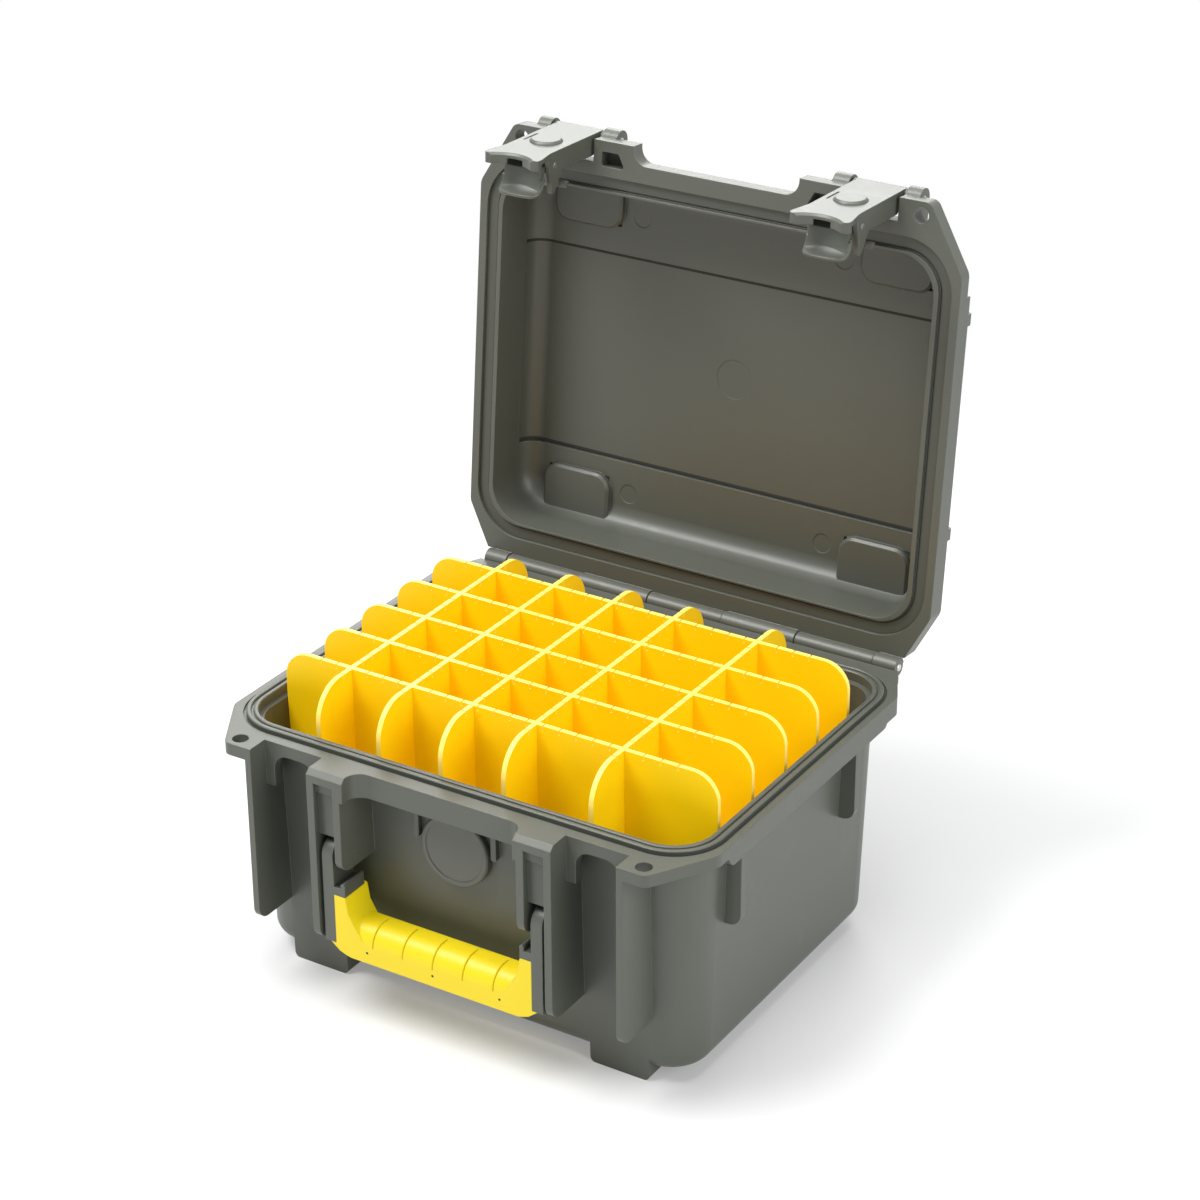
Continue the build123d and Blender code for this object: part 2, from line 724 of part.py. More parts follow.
with BuildPart() as lid_shell:
    # Shallow drafted pan
    with BuildSketch(lid_plane(base_level(lid_rim))):
        RectangleRounded(2 * lid_half_width, 2 * lid_half_depth, body_corner_radius)
    extrude(amount=lid_wall_height, taper=lid_draft)
    fillet(lid_shell.edges().group_by(lid_up)[-1], lid_top_fillet)

    # Rim plate with its tabs and latch lugs, and the skirt above it
    with BuildSketch(lid_plane(base_level(lid_rim))) as lid_rim_shape:
        rim_outline(lug_inner_x, lug_outer_x, lug_front, ear_outer[0])
        fillet(lid_rim_shape.vertices().sort_by_distance((lug_inner_x, -rim_front))[0], tower_sweep_radius)
        fillet(lid_rim_shape.vertices().group_by(Axis.X)[-1], rim_corner_radius)
        fillet(lid_rim_shape.vertices().sort_by_distance((tab_tip_x, -tab_front))[0], tab_corner_radius)
        mirror(about=Plane.YZ)
    extrude(amount=lid_deck_top - lid_rim)
    with BuildSketch(lid_plane(base_level(lid_deck_top))):
        add(lid_rim_shape.sketch_local)
        offset(lid_rim_shape.sketch_local, amount=-skirt_thickness, mode=Mode.SUBTRACT)
        with Locations((0, -rim_half_width)):
            Rectangle(3 * rim_half_width, 2 * (rim_half_width - tab_side_y + skirt_depth), mode=Mode.SUBTRACT)
    extrude(amount=lid_rim + skirt_depth - lid_deck_top)

    # Ribs across the top with raised ends, and gussets above the rim
    for side in (-1, 1):
        with BuildSketch(lid_plane(Plane.XZ.offset(side * lid_rib_y))) as top_rib_shape:
            Polygon(
                (-lid_rib_half_length, lid_top - 8),
                (-lid_rib_half_length, lid_top + lid_rib_height),
                (-lid_rib_half_length + 7, lid_top + lid_rib_height),
                (-lid_rib_half_length + 9, lid_top + lid_rib_height / 2),
                (lid_rib_half_length - 9, lid_top + lid_rib_height / 2),
                (lid_rib_half_length - 7, lid_top + lid_rib_height),
                (lid_rib_half_length, lid_top + lid_rib_height),
                (lid_rib_half_length, lid_top - 8),
                (lid_half_width - lid_top_fillet, lid_top - 2),
                (-lid_half_width + lid_top_fillet, lid_top - 2),
                align=None,
            )
            fillet(top_rib_shape.vertices().group_by(Axis.Y)[-1], lid_nub_fillet)
        extrude(amount=lid_rib_width / 2, both=True)
        for rib_y in side_rib_ys:
            with BuildSketch(lid_plane(Plane.XZ.offset(-rib_y))):
                Polygon(
                    (side * (lid_half_width - 4), lid_rim + 4),
                    (side * (rim_half_width - 1), lid_rim + 4),
                    (side * (rim_half_width - 1), lid_rim + skirt_depth),
                    (side * (lid_half_width - 1), lid_top - lid_top_fillet),
                    (side * (lid_half_width - 4), lid_top - lid_top_fillet),
                    align=None,
                )
            extrude(amount=gusset_thickness / 2, both=True)

    # Cavity with the deeper band across its floor, then the sockets for the feet of a second case
    add(lid_cavity.part, mode=Mode.SUBTRACT)
    add(lid_band.part, mode=Mode.SUBTRACT)
    add(socket_bosses.part)
    with BuildSketch(lid_plane(base_level(lid_top))):
        pocket_reach = foot_reach + socket_clearance
        with GridLocations(socket_inner_x + socket_outer_x, socket_inner_y + socket_side + pocket_reach, 2, 2):
            Rectangle(socket_outer_x - socket_inner_x - 2 * socket_side,
                      pocket_reach - socket_inner_y - socket_side)
    extrude(amount=-socket_depth, mode=Mode.SUBTRACT)

    # Round marks the mould's ejectors leave
    with BuildSketch(lid_plane(base_level(lid_floor + band_depth))):
        Circle(ejector_centre_radius)
    extrude(amount=ejector_depth, mode=Mode.SUBTRACT)
    with BuildSketch(lid_plane(base_level(lid_floor))):
        with GridLocations(ejector_spread_x, ejector_spread_y, 2, 2):
            Circle(ejector_corner_radius)
    extrude(amount=ejector_depth, mode=Mode.SUBTRACT)

    # Hinge knuckles on their web
    lid_spans = [(side * inner, side * outer) for side in (-1, 1) for inner, outer in knuckle_spans(False)]
    lid_spans.append((-hinge_joints[3] + knuckle_gap / 2, hinge_joints[3] - knuckle_gap / 2))
    for start, end in lid_spans:
        with BuildSketch(lid_plane(side_plane(start))):
            with Locations((rim_back - 2, lid_rim)):
                Rectangle(hinge_y - rim_back + 2, 3.5, align=(Align.MIN, Align.MIN))
            with Locations((hinge_y, hinge_z)):
                Circle(barrel_radius)
        extrude(amount=end - start)
    with BuildSketch(lid_plane(side_plane(-hinge_joints[1]))):
        with Locations((hinge_y, hinge_z)):
            Circle(bore_radius)
    extrude(amount=2 * hinge_joints[1], mode=Mode.SUBTRACT)

    # Ears of the latches, with the bores of their pins
    for side in (-1, 1):
        for inner, outer in (ear_inner, ear_outer):
            with BuildSketch(lid_plane(side_plane(side * inner))):
                with Locations((-latch_pivot_y, latch_pivot_z)):
                    Circle(ear_radius)
                Polygon(
                    (-latch_pivot_y - ear_radius, latch_pivot_z),
                    (-latch_pivot_y, lid_rim + 2),
                    (-lid_half_depth + 2, lid_rim + 2),
                    (-lid_half_depth + 2, latch_pivot_z + ear_radius),
                    (-latch_pivot_y, latch_pivot_z + ear_radius),
                    align=None,
                )
            extrude(amount=side * (outer - inner))
        with BuildSketch(lid_plane(side_plane(side * (ear_inner[0] - 1)))):
            with Locations((-latch_pivot_y, latch_pivot_z)):
                Circle(latch_pin_radius)
        extrude(amount=side * (ear_outer[1] - ear_inner[0] + 2), mode=Mode.SUBTRACT)

    # Padlock eyes and the pockets in the lugs
    with BuildSketch(lid_plane(base_level(lid_rim))):
        with Locations((-eye_x, -eye_y), (eye_x, -eye_y)):
            Circle(eye_radius)
    extrude(amount=lid_wall_height, mode=Mode.SUBTRACT)
    for side in (-1, 1):
        with BuildSketch(lid_plane(base_level(lid_rim))) as lug_pocket_shape:
            pocket_front = -lug_front + 5.6
            Polygon(
                (side * (lug_outer_x - lug_pocket_wall), pocket_front),
                (side * (lug_inner_x + lug_pocket_wall + lug_pocket_slant), pocket_front),
                (side * (lug_inner_x + lug_pocket_wall), pocket_front + lug_pocket_depth),
                (side * (lug_outer_x - lug_pocket_wall), pocket_front + lug_pocket_depth),
                align=None,
            )
            fillet(lug_pocket_shape.vertices(), lug_pocket_fillet)
        extrude(amount=lug_pocket_height, mode=Mode.SUBTRACT)

    # Gasket groove
    with BuildSketch(lid_plane(base_level(lid_rim))):
        opening_band(tongue_outer + groove_clearance, tongue_inner - groove_clearance)
    extrude(amount=gasket_face + gasket_thickness - lid_rim, mode=Mode.SUBTRACT)

with BuildPart() as lid_gasket:
    with BuildSketch(lid_plane(base_level(gasket_face))):
        opening_band(tongue_outer + groove_clearance, tongue_inner - groove_clearance)
    extrude(amount=gasket_thickness)
    with BuildSketch(lid_plane(base_level(gasket_face))):
        opening_band(tongue_inner + gasket_line_width, tongue_inner)
    extrude(amount=gasket_line_depth, mode=Mode.SUBTRACT)

latch_levers = {}
latch_pins = {}
latch_triggers = {}
trigger_pins = {}
trigger_springs = {}
for side, side_name in ((-1, "left"), (1, "right")):
    centre_x = side * latch_x
    with BuildPart() as latch_lever:
        # Plate, flared towards its free end, with thicker corners there and an arched finger scoop
        flare_start = latch_length - latch_flare_length
        wide = latch_half_width + latch_flare
        with BuildSketch(latch_face(centre_x, 0)) as plate_shape:
            Polygon(
                (-latch_half_width, 0),
                (latch_half_width, 0),
                (latch_half_width, -flare_start),
                (wide, -latch_length + latch_corner_length),
                (wide, -latch_length),
                (-wide, -latch_length),
                (-wide, -latch_length + latch_corner_length),
                (-latch_half_width, -flare_start),
                align=None,
            )
            for flare_level, flare_radius in ((-flare_start, latch_flare_radius), (-latch_length, latch_corner_radius)):
                fillet(plate_shape.vertices().filter_by_position(Axis.Y, flare_level - 0.1, flare_level + 0.1),
                       flare_radius)
        extrude(amount=-latch_plate)
        with BuildSketch(latch_face(centre_x, 0)) as end_shape:
            with Locations((0, -latch_length)):
                Rectangle(2 * wide, latch_corner_length, align=(Align.CENTER, Align.MIN))
            fillet(end_shape.vertices().group_by(Axis.Y)[0], latch_corner_radius)
        extrude(amount=-latch_end_depth)
        scoop_radius = (latch_scoop_half_width**2 + latch_scoop_depth**2) / (2 * latch_scoop_depth)
        scoop_centre = -latch_length + latch_scoop_depth - scoop_radius
        with BuildSketch(latch_face(centre_x, 0)):
            with Locations((0, scoop_centre)):
                Circle(scoop_radius)
        extrude(amount=-latch_end_depth, mode=Mode.SUBTRACT)
        with BuildSketch(latch_face(centre_x, 0)):
            with Locations((0, scoop_centre)):
                Circle(scoop_radius + latch_scoop_bevel)
        extrude(amount=-latch_scoop_bevel, taper=45, mode=Mode.SUBTRACT)

        # Pivot knuckle
        knuckle_half = (ear_outer[0] - ear_inner[1]) / 2 - 0.4
        knuckle_x = side * (ear_outer[0] + ear_inner[1]) / 2
        with BuildSketch(latch_section(knuckle_x)):
            with Locations((0, latch_proud)):
                Circle(latch_knuckle_radius)
        extrude(amount=knuckle_half, both=True)

        # Side walls that end in the guide prongs
        for wall_side in (-1, 1):
            wall_start = centre_x + wall_side * latch_half_width
            with BuildSketch(latch_section(wall_start)) as wall_profile:
                Polygon(
                    (2, latch_plate / 2),
                    (3, latch_proud + latch_knuckle_radius - 1),
                    (10, latch_wall_depth),
                    (prong_root, latch_wall_depth),
                    (prong_front - 2.2, prong_depth),
                    (prong_front, prong_depth),
                    (prong_front + 1.5, latch_wall_depth),
                    (prong_front + 4, latch_plate / 2),
                    align=None,
                )
                fillet(wall_profile.vertices().group_by(Axis.Y)[-1], prong_tip_radius)
            extrude(amount=-wall_side * latch_wall)

        # Button and the short mark beside it
        with BuildSketch(latch_face(centre_x, 0)):
            with Locations((0, -button_at)):
                Circle(button_radius)
        extrude(amount=button_height)
        button_top = latch_lever.faces().sort_by(Axis((0, 0, 0), latch_face(0, 0).z_dir))[-1]
        chamfer(button_top.edges(), button_chamfer)
        with BuildSketch(latch_face(centre_x, 0)):
            with Locations((-latch_half_width + 3, -button_at + 2)):
                Rectangle(mark_width, mark_length)
        extrude(amount=-mark_depth, mode=Mode.SUBTRACT)

        # Bores of the pivot pin and the trigger pin
        with BuildSketch(latch_section(centre_x)):
            with Locations((0, latch_proud)):
                Circle(latch_pin_radius + shaft_clearance)
        extrude(amount=2 * latch_half_width, both=True, mode=Mode.SUBTRACT)
        with BuildSketch(latch_section(centre_x)):
            with Locations((trigger_at, trigger_pin_depth)):
                Circle(trigger_pin_radius)
        extrude(amount=2 * latch_half_width, both=True, mode=Mode.SUBTRACT)
    latch_levers[side_name] = latch_lever.part

    with BuildPart() as latch_pin:
        with BuildSketch(latch_section(side * ear_inner[0])):
            with Locations((0, latch_proud)):
                Circle(latch_pin_radius)
        extrude(amount=side * (ear_outer[1] - ear_inner[0]))
    latch_pins[side_name] = latch_pin.part

    with BuildPart() as trigger_pin:
        with BuildSketch(latch_section(centre_x)):
            with Locations((trigger_at, trigger_pin_depth)):
                Circle(trigger_pin_radius)
        extrude(amount=latch_half_width, both=True)
    trigger_pins[side_name] = trigger_pin.part

    with BuildPart() as finger_lip:
        # Wider than the arms, narrowing to rounded corners at its free end
        with BuildSketch(latch_section(centre_x)):
            Polygon(
                (trigger_at + 8, prong_depth - 3),
                (trigger_at + 10.2, prong_depth),
                (trigger_at + 12.6, prong_depth),
                (trigger_at + 10.5, prong_depth - 5),
                (trigger_at + 9.5, prong_depth - 8),
                (trigger_at + 7.2, prong_depth - 8),
                align=None,
            )
        extrude(amount=trigger_lip_half_width, both=True)
        with BuildSketch(latch_face(centre_x, 0)) as lip_shape:
            Polygon(
                (trigger_lip_half_width, -trigger_at - 7),
                (-trigger_lip_half_width, -trigger_at - 7),
                (-trigger_lip_half_width + 1.5, -trigger_at - 12.6),
                (trigger_lip_half_width - 1.5, -trigger_at - 12.6),
                align=None,
            )
            fillet(lip_shape.vertices().group_by(Axis.Y)[0], trigger_lip_radius)
        extrude(amount=-prong_depth - 1, mode=Mode.INTERSECT)

    with BuildPart() as latch_trigger:
        # Tooth bar, arms and finger lip as one bent plate, then opened round the spring
        arm_half = latch_half_width - latch_wall - trigger_side_gap
        tooth_bottom = trigger_tooth_top + trigger_tooth_thickness
        with BuildSketch(latch_section(centre_x)):
            Polygon(
                (trigger_tooth_top, trigger_tooth_back),
                (trigger_tooth_top + 1.5, trigger_tooth_back + 3),
                (tooth_bottom + 2, trigger_tooth_back + 3),
                (trigger_at, trigger_pin_depth + trigger_boss_radius),
                (trigger_at + 5.5, trigger_pin_depth + 3.4),
                (trigger_at + 8, prong_depth - 3),
                (trigger_at + 10.2, prong_depth),
                (trigger_at + 12.6, prong_depth),
                (trigger_at + 10.5, prong_depth - 5),
                (trigger_at + 8.5, trigger_pin_depth + 1),
                (trigger_at, trigger_pin_depth - trigger_boss_radius),
                (trigger_at - 2.5, trigger_pin_depth),
                (tooth_bottom, trigger_tooth_back),
                align=None,
            )
            with Locations((trigger_at, trigger_pin_depth)):
                Circle(trigger_boss_radius)
        extrude(amount=arm_half, both=True)
        with BuildSketch(latch_section(centre_x)):
            Polygon(
                (trigger_tooth_top, trigger_tooth_back),
                (trigger_tooth_top + 1.5, trigger_tooth_back + 3),
                (tooth_bottom, trigger_tooth_back + 3),
                (tooth_bottom, trigger_tooth_back),
                align=None,
            )
        extrude(amount=trigger_tooth_reach, both=True)
        add(finger_lip.part)
        with BuildSketch(latch_face(centre_x, 0)):
            with Locations((0, -trigger_at)):
                Rectangle(trigger_window, trigger_window - 2)
        extrude(amount=-trigger_pin_depth - trigger_window, mode=Mode.SUBTRACT)
        with BuildSketch(latch_section(centre_x)):
            with Locations((trigger_at, trigger_pin_depth)):
                Circle(trigger_pin_radius + shaft_clearance)
        extrude(amount=latch_half_width, both=True, mode=Mode.SUBTRACT)
    latch_triggers[side_name] = latch_trigger.part

    with BuildPart() as trigger_spring:
        coil_radius = trigger_pin_radius + spring_wire_radius + 0.1
        coil_length = spring_pitch * spring_turns
        coil_start = latch_section(centre_x - coil_length / 2)
        with BuildLine() as coil_path:
            Helix(
                spring_pitch,
                coil_length,
                coil_radius,
                center=coil_start.from_local_coords((trigger_at, trigger_pin_depth, 0)),
                direction=(1, 0, 0),
            )
        with BuildSketch(Plane(origin=coil_path.line @ 0, z_dir=coil_path.line % 0)):
            RegularPolygon(spring_wire_radius, 6)
        sweep(path=coil_path.line)
    trigger_springs[side_name] = trigger_spring.part

with BuildPart() as handle_frame:
    for side in (-1, 1):
        with BuildSketch(side_plane(side * arm_inner_x)) as arm_shape:
            with Locations((-handle_pivot_y, handle_pivot_z)):
                Circle(arm_end_radius)
            with Locations((-handle_pivot_y, grip_bottom + 7)):
                Rectangle(2 * arm_end_radius, handle_pivot_z - grip_bottom - 7, align=(Align.CENTER, Align.MIN))
        extrude(amount=side * (arm_outer_x - arm_inner_x))
        with BuildSketch(front_plane(-handle_pivot_y - arm_end_radius)) as shoulder_shape:
            Polygon(
                (side * grip_inner_x, grip_top),
                (side * grip_inner_x, shoulder_top),
                (side * (grip_inner_x + hook_width), shoulder_top),
                (side * (grip_inner_x + hook_width), shoulder_top - hook_drop),
                (side * (arm_inner_x + 1), shoulder_top - hook_drop),
                (side * (arm_inner_x + 1), grip_top),
                align=None,
            )
            fillet(shoulder_shape.vertices().group_by(Axis.Y)[-1], hook_width / 2 - 0.05)
        extrude(amount=-2 * arm_end_radius)
    with BuildSketch(side_plane(-arm_inner_x)):
        with Locations((-handle_pivot_y + 2.5, (grip_bottom + grip_bar_top) / 2)):
            Rectangle(core_depth, core_height)
    extrude(amount=2 * arm_inner_x)
    with BuildSketch(side_plane(-arm_outer_x)):
        with Locations((-handle_pivot_y, handle_pivot_z)):
            Circle(handle_pin_radius + shaft_clearance)
    extrude(amount=2 * arm_outer_x, mode=Mode.SUBTRACT)

with BuildPart() as handle_grip:
    back = -grip_front + grip_depth
    with BuildSketch(side_plane(-grip_inner_x + 3)) as bar_shape:
        with Locations((-grip_front, grip_bottom)):
            Rectangle(grip_depth, grip_bar_top - grip_bottom, align=(Align.MIN, Align.MIN))
        fillet(bar_shape.vertices().sort_by_distance((-grip_front, grip_bar_top))[0], grip_bar_radius)
        fillet(bar_shape.vertices().sort_by_distance((back, grip_bar_top))[0], grip_back_radius)
    extrude(amount=2 * grip_inner_x - 6)
    for side in (-1, 1):
        with BuildSketch(front_plane(-grip_front)) as block_shape:
            Polygon(
                (side * (grip_flat_half_length - 1), grip_bottom),
                (side * (grip_flat_half_length + 6), grip_bottom + 0.5),
                (side * (grip_half_length - 5), grip_bottom + 3),
                (side * grip_half_length, grip_bottom + 7),
                (side * grip_top_half_length, grip_top),
                (side * grip_inner_x, grip_top),
                (side * (grip_inner_x - 1.5), grip_bar_top + 5),
                (side * (grip_inner_x - 5), grip_bar_top - 1),
                (side * (grip_flat_half_length - 1), grip_bar_top - 8),
                align=None,
            )
            fillet(block_shape.vertices().group_by(Axis.Y)[-1], 1)
        extrude(amount=-grip_depth)
    # One rounded underside all along
    with BuildSketch(side_plane(-grip_half_length - 1)) as grip_profile:
        with Locations((-grip_front, grip_bottom)):
            Rectangle(grip_depth, grip_top - grip_bottom, align=(Align.MIN, Align.MIN))
        fillet(grip_profile.vertices().group_by(Axis.Y)[0], grip_edge_radius)
    extrude(amount=2 * grip_half_length + 2, mode=Mode.INTERSECT)
    add(handle_frame.part, mode=Mode.SUBTRACT)
    for step in range(-2, 3):
        with BuildSketch(side_plane(step * grip_groove_pitch)) as groove_shape:
            Polygon(
                (-grip_front - 1, grip_bar_top - 10),
                (-grip_front + 0.5, grip_bar_top - 10),
                (-grip_front + 4, grip_bar_top - 4.4),
                (-grip_front + 10, grip_bar_top - 0.6),
                (-grip_front + 14, grip_bar_top - 0.6),
                (-grip_front + 14, grip_bar_top + 1),
                (-grip_front - 1, grip_bar_top + 1),
                align=None,
            )
        extrude(amount=grip_groove_width / 2, both=True, mode=Mode.SUBTRACT)

handle_pins = {}
for side, side_name in ((-1, "left"), (1, "right")):
    with BuildPart() as handle_pin:
        with BuildSketch(side_plane(side * tower_inner_x)):
            with Locations((-handle_pivot_y, handle_pivot_z)):
                Circle(handle_pin_radius)
        extrude(amount=side * (tower_outer_x - tower_inner_x - 0.6 * tower_rib))
    handle_pins[side_name] = handle_pin.part

pieces = {
    "base_shell": base_shell.part,
    "hinge_pin": hinge_pin.part,
    "valve_body": valve_body.part,
    "valve_membrane": valve_membrane.part,
    "valve_seal": valve_seal.part,
    "valve_nut": valve_nut.part,
    "valve_cap": valve_cap.part,
    "lid_shell": lid_shell.part,
    "lid_gasket": lid_gasket.part,
    "handle_frame": handle_frame.part,
    "handle_grip": handle_grip.part,
}
for number, part in enumerate(long_dividers, 1):
    pieces[f"long_divider_{number}"] = part
for number, part in enumerate(cross_dividers, 1):
    pieces[f"cross_divider_{number}"] = part
for side_name in ("left", "right"):
    pieces[f"{side_name}_latch_lever"] = latch_levers[side_name]
    pieces[f"{side_name}_latch_pin"] = latch_pins[side_name]
    pieces[f"{side_name}_latch_trigger"] = latch_triggers[side_name]
    pieces[f"{side_name}_trigger_pin"] = trigger_pins[side_name]
    pieces[f"{side_name}_trigger_spring"] = trigger_springs[side_name]
    pieces[f"{side_name}_handle_pin"] = handle_pins[side_name]

for label, part in pieces.items():
    part.label = label
    export_step(part, f"parts/{label}.step")
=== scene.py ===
import json
import math

import bmesh
import bpy
from mathutils import Matrix, Vector


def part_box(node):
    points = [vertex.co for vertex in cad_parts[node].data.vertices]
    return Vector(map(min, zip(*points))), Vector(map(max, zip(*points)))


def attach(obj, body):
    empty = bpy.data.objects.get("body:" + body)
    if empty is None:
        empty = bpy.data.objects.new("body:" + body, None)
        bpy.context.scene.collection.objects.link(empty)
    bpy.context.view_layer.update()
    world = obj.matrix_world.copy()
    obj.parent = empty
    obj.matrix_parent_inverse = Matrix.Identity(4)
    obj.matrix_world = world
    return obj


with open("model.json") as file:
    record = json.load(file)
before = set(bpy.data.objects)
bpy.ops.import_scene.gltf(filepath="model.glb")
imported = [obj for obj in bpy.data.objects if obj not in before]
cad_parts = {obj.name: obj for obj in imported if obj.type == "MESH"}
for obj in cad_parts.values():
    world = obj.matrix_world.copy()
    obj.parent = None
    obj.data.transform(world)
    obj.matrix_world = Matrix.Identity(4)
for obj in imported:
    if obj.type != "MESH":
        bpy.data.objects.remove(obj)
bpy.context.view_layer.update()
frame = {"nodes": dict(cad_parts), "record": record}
nodes = frame["nodes"]
print("stage: frame loaded,", len(nodes), "nodes")


# An empty node group with named sockets, given as (name, socket type, default)
def makeGroup(name, inputs, outputs, treeType="ShaderNodeTree"):
    group = bpy.data.node_groups.new(name, treeType)
    for label, kind, default in inputs:
        socket = group.interface.new_socket(label, in_out="INPUT", socket_type=kind)
        if default is not None:
            socket.default_value = default
    for label, kind in outputs:
        group.interface.new_socket(label, in_out="OUTPUT", socket_type=kind)
    entry = group.nodes.new("NodeGroupInput")
    leave = group.nodes.new("NodeGroupOutput")
    return group, entry, leave


def addNode(tree, kind, values=None, **properties):
    node = tree.nodes.new(kind)
    for key, value in properties.items():
        setattr(node, key, value)
    for key, value in (values or {}).items():
        node.inputs[key].default_value = value
    return node


def addMath(tree, operation, first, second=None, clamp=False):
    node = tree.nodes.new("ShaderNodeMath")
    node.operation = operation
    node.use_clamp = clamp
    for index, value in enumerate((first, second)):
        if value is None:
            continue
        if isinstance(value, (int, float)):
            node.inputs[index].default_value = value
        else:
            tree.links.new(value, node.inputs[index])
    return node.outputs[0]


def mixColor(tree, factor, first, second):
    node = tree.nodes.new("ShaderNodeMix")
    node.data_type = "RGBA"
    for index, value in ((0, factor), (6, first), (7, second)):
        if hasattr(value, "is_linked"):
            tree.links.new(value, node.inputs[index])
        elif isinstance(value, (int, float)):
            node.inputs[index].default_value = value
        else:
            node.inputs[index].default_value = (*value[:3], 1)
    return node.outputs[2]


grainNoise = {"fine": {"Detail": 3.0, "Roughness": 0.6}, "drift": {"Detail": 4.0, "Roughness": 0.55},
              "rub": {"Scale": 42.0, "Detail": 6.0, "Roughness": 0.7}, "rubStart": 0.56, "rubGain": 5.0}
middleTone = 0.5  # of a noise, and of a mix between two tones


# Moulded grain: fine height, broad tone drift and handling rub, all from object coordinates
def buildGrain():
    group, entry, leave = makeGroup(
        "MouldedGrain",
        [("Grain Scale", "NodeSocketFloat", 900.0), ("Drift Scale", "NodeSocketFloat", 9.0)],
        [("Height", "NodeSocketFloat"), ("Drift", "NodeSocketFloat"), ("Rub", "NodeSocketFloat")],
    )
    links = group.links
    place = addNode(group, "ShaderNodeTexCoord")
    fine, drift, rub = [addNode(group, "ShaderNodeTexNoise", grainNoise[use])
                        for use in ("fine", "drift", "rub")]
    for node in (fine, drift, rub):
        links.new(place.outputs["Object"], node.inputs["Vector"])
    links.new(entry.outputs["Grain Scale"], fine.inputs["Scale"])
    links.new(entry.outputs["Drift Scale"], drift.inputs["Scale"])
    links.new(fine.outputs["Fac"], leave.inputs["Height"])
    links.new(addMath(group, "SUBTRACT", drift.outputs["Fac"], middleTone), leave.inputs["Drift"])
    rubbed = addMath(group, "SUBTRACT", rub.outputs["Fac"], grainNoise["rubStart"])
    links.new(addMath(group, "MULTIPLY", rubbed, grainNoise["rubGain"], clamp=True), leave.inputs["Rub"])
    return group


softEdge = {"samples": 6, "gain": 4.0}


# Finds edges by how far a rounded normal leans from the flat one, and hands on the rounded normal
def buildEdge():
    group, entry, leave = makeGroup(
        "SoftEdge",
        [("Radius", "NodeSocketFloat", 0.0006)],
        [("Normal", "NodeSocketVector"), ("Edge", "NodeSocketFloat")],
    )
    bevel = addNode(group, "ShaderNodeBevel", samples=softEdge["samples"])
    geometry = addNode(group, "ShaderNodeNewGeometry")
    group.links.new(entry.outputs["Radius"], bevel.inputs["Radius"])
    dot = addNode(group, "ShaderNodeVectorMath", operation="DOT_PRODUCT")
    group.links.new(bevel.outputs["Normal"], dot.inputs[0])
    group.links.new(geometry.outputs["Normal"], dot.inputs[1])
    lean = addMath(group, "SUBTRACT", 1.0, dot.outputs["Value"])
    group.links.new(addMath(group, "MULTIPLY", lean, softEdge["gain"], clamp=True), leave.inputs["Edge"])
    group.links.new(bevel.outputs["Normal"], leave.inputs["Normal"])
    return group


sheetFaceLean = 0.5  # a normal with less than this share of the thickness axis is on a cut edge


# Tells the cut edge of a thin sheet from its faces, from the sheet's thickness axis
def buildSheetEdge():
    group, entry, leave = makeGroup(
        "SheetEdge", [("Thickness Axis", "NodeSocketVector", (0.0, 1.0, 0.0))], [("Edge", "NodeSocketFloat")]
    )
    place = addNode(group, "ShaderNodeTexCoord")
    dot = addNode(group, "ShaderNodeVectorMath", operation="DOT_PRODUCT")
    group.links.new(place.outputs["Normal"], dot.inputs[0])
    group.links.new(entry.outputs["Thickness Axis"], dot.inputs[1])
    side = addMath(group, "ABSOLUTE", dot.outputs["Value"])
    group.links.new(addMath(group, "LESS_THAN", side, sheetFaceLean), leave.inputs["Edge"])
    return group


grainGroup = buildGrain()
edgeGroup = buildEdge()
sheetGroup = buildSheetEdge()


# What every finish starts from: a finish below names only what differs
plasticBase = {"metallic": 0.0, "specular": 0.5, "grainScale": 900.0, "driftScale": 9.0, "drift": 0.3,
               "low": 0.85, "high": 1.15, "edgeRadius": 0.0006, "edgeWear": 0.25, "rub": 0.08,
               "bump": 0.15, "bumpDistance": 0.0002}


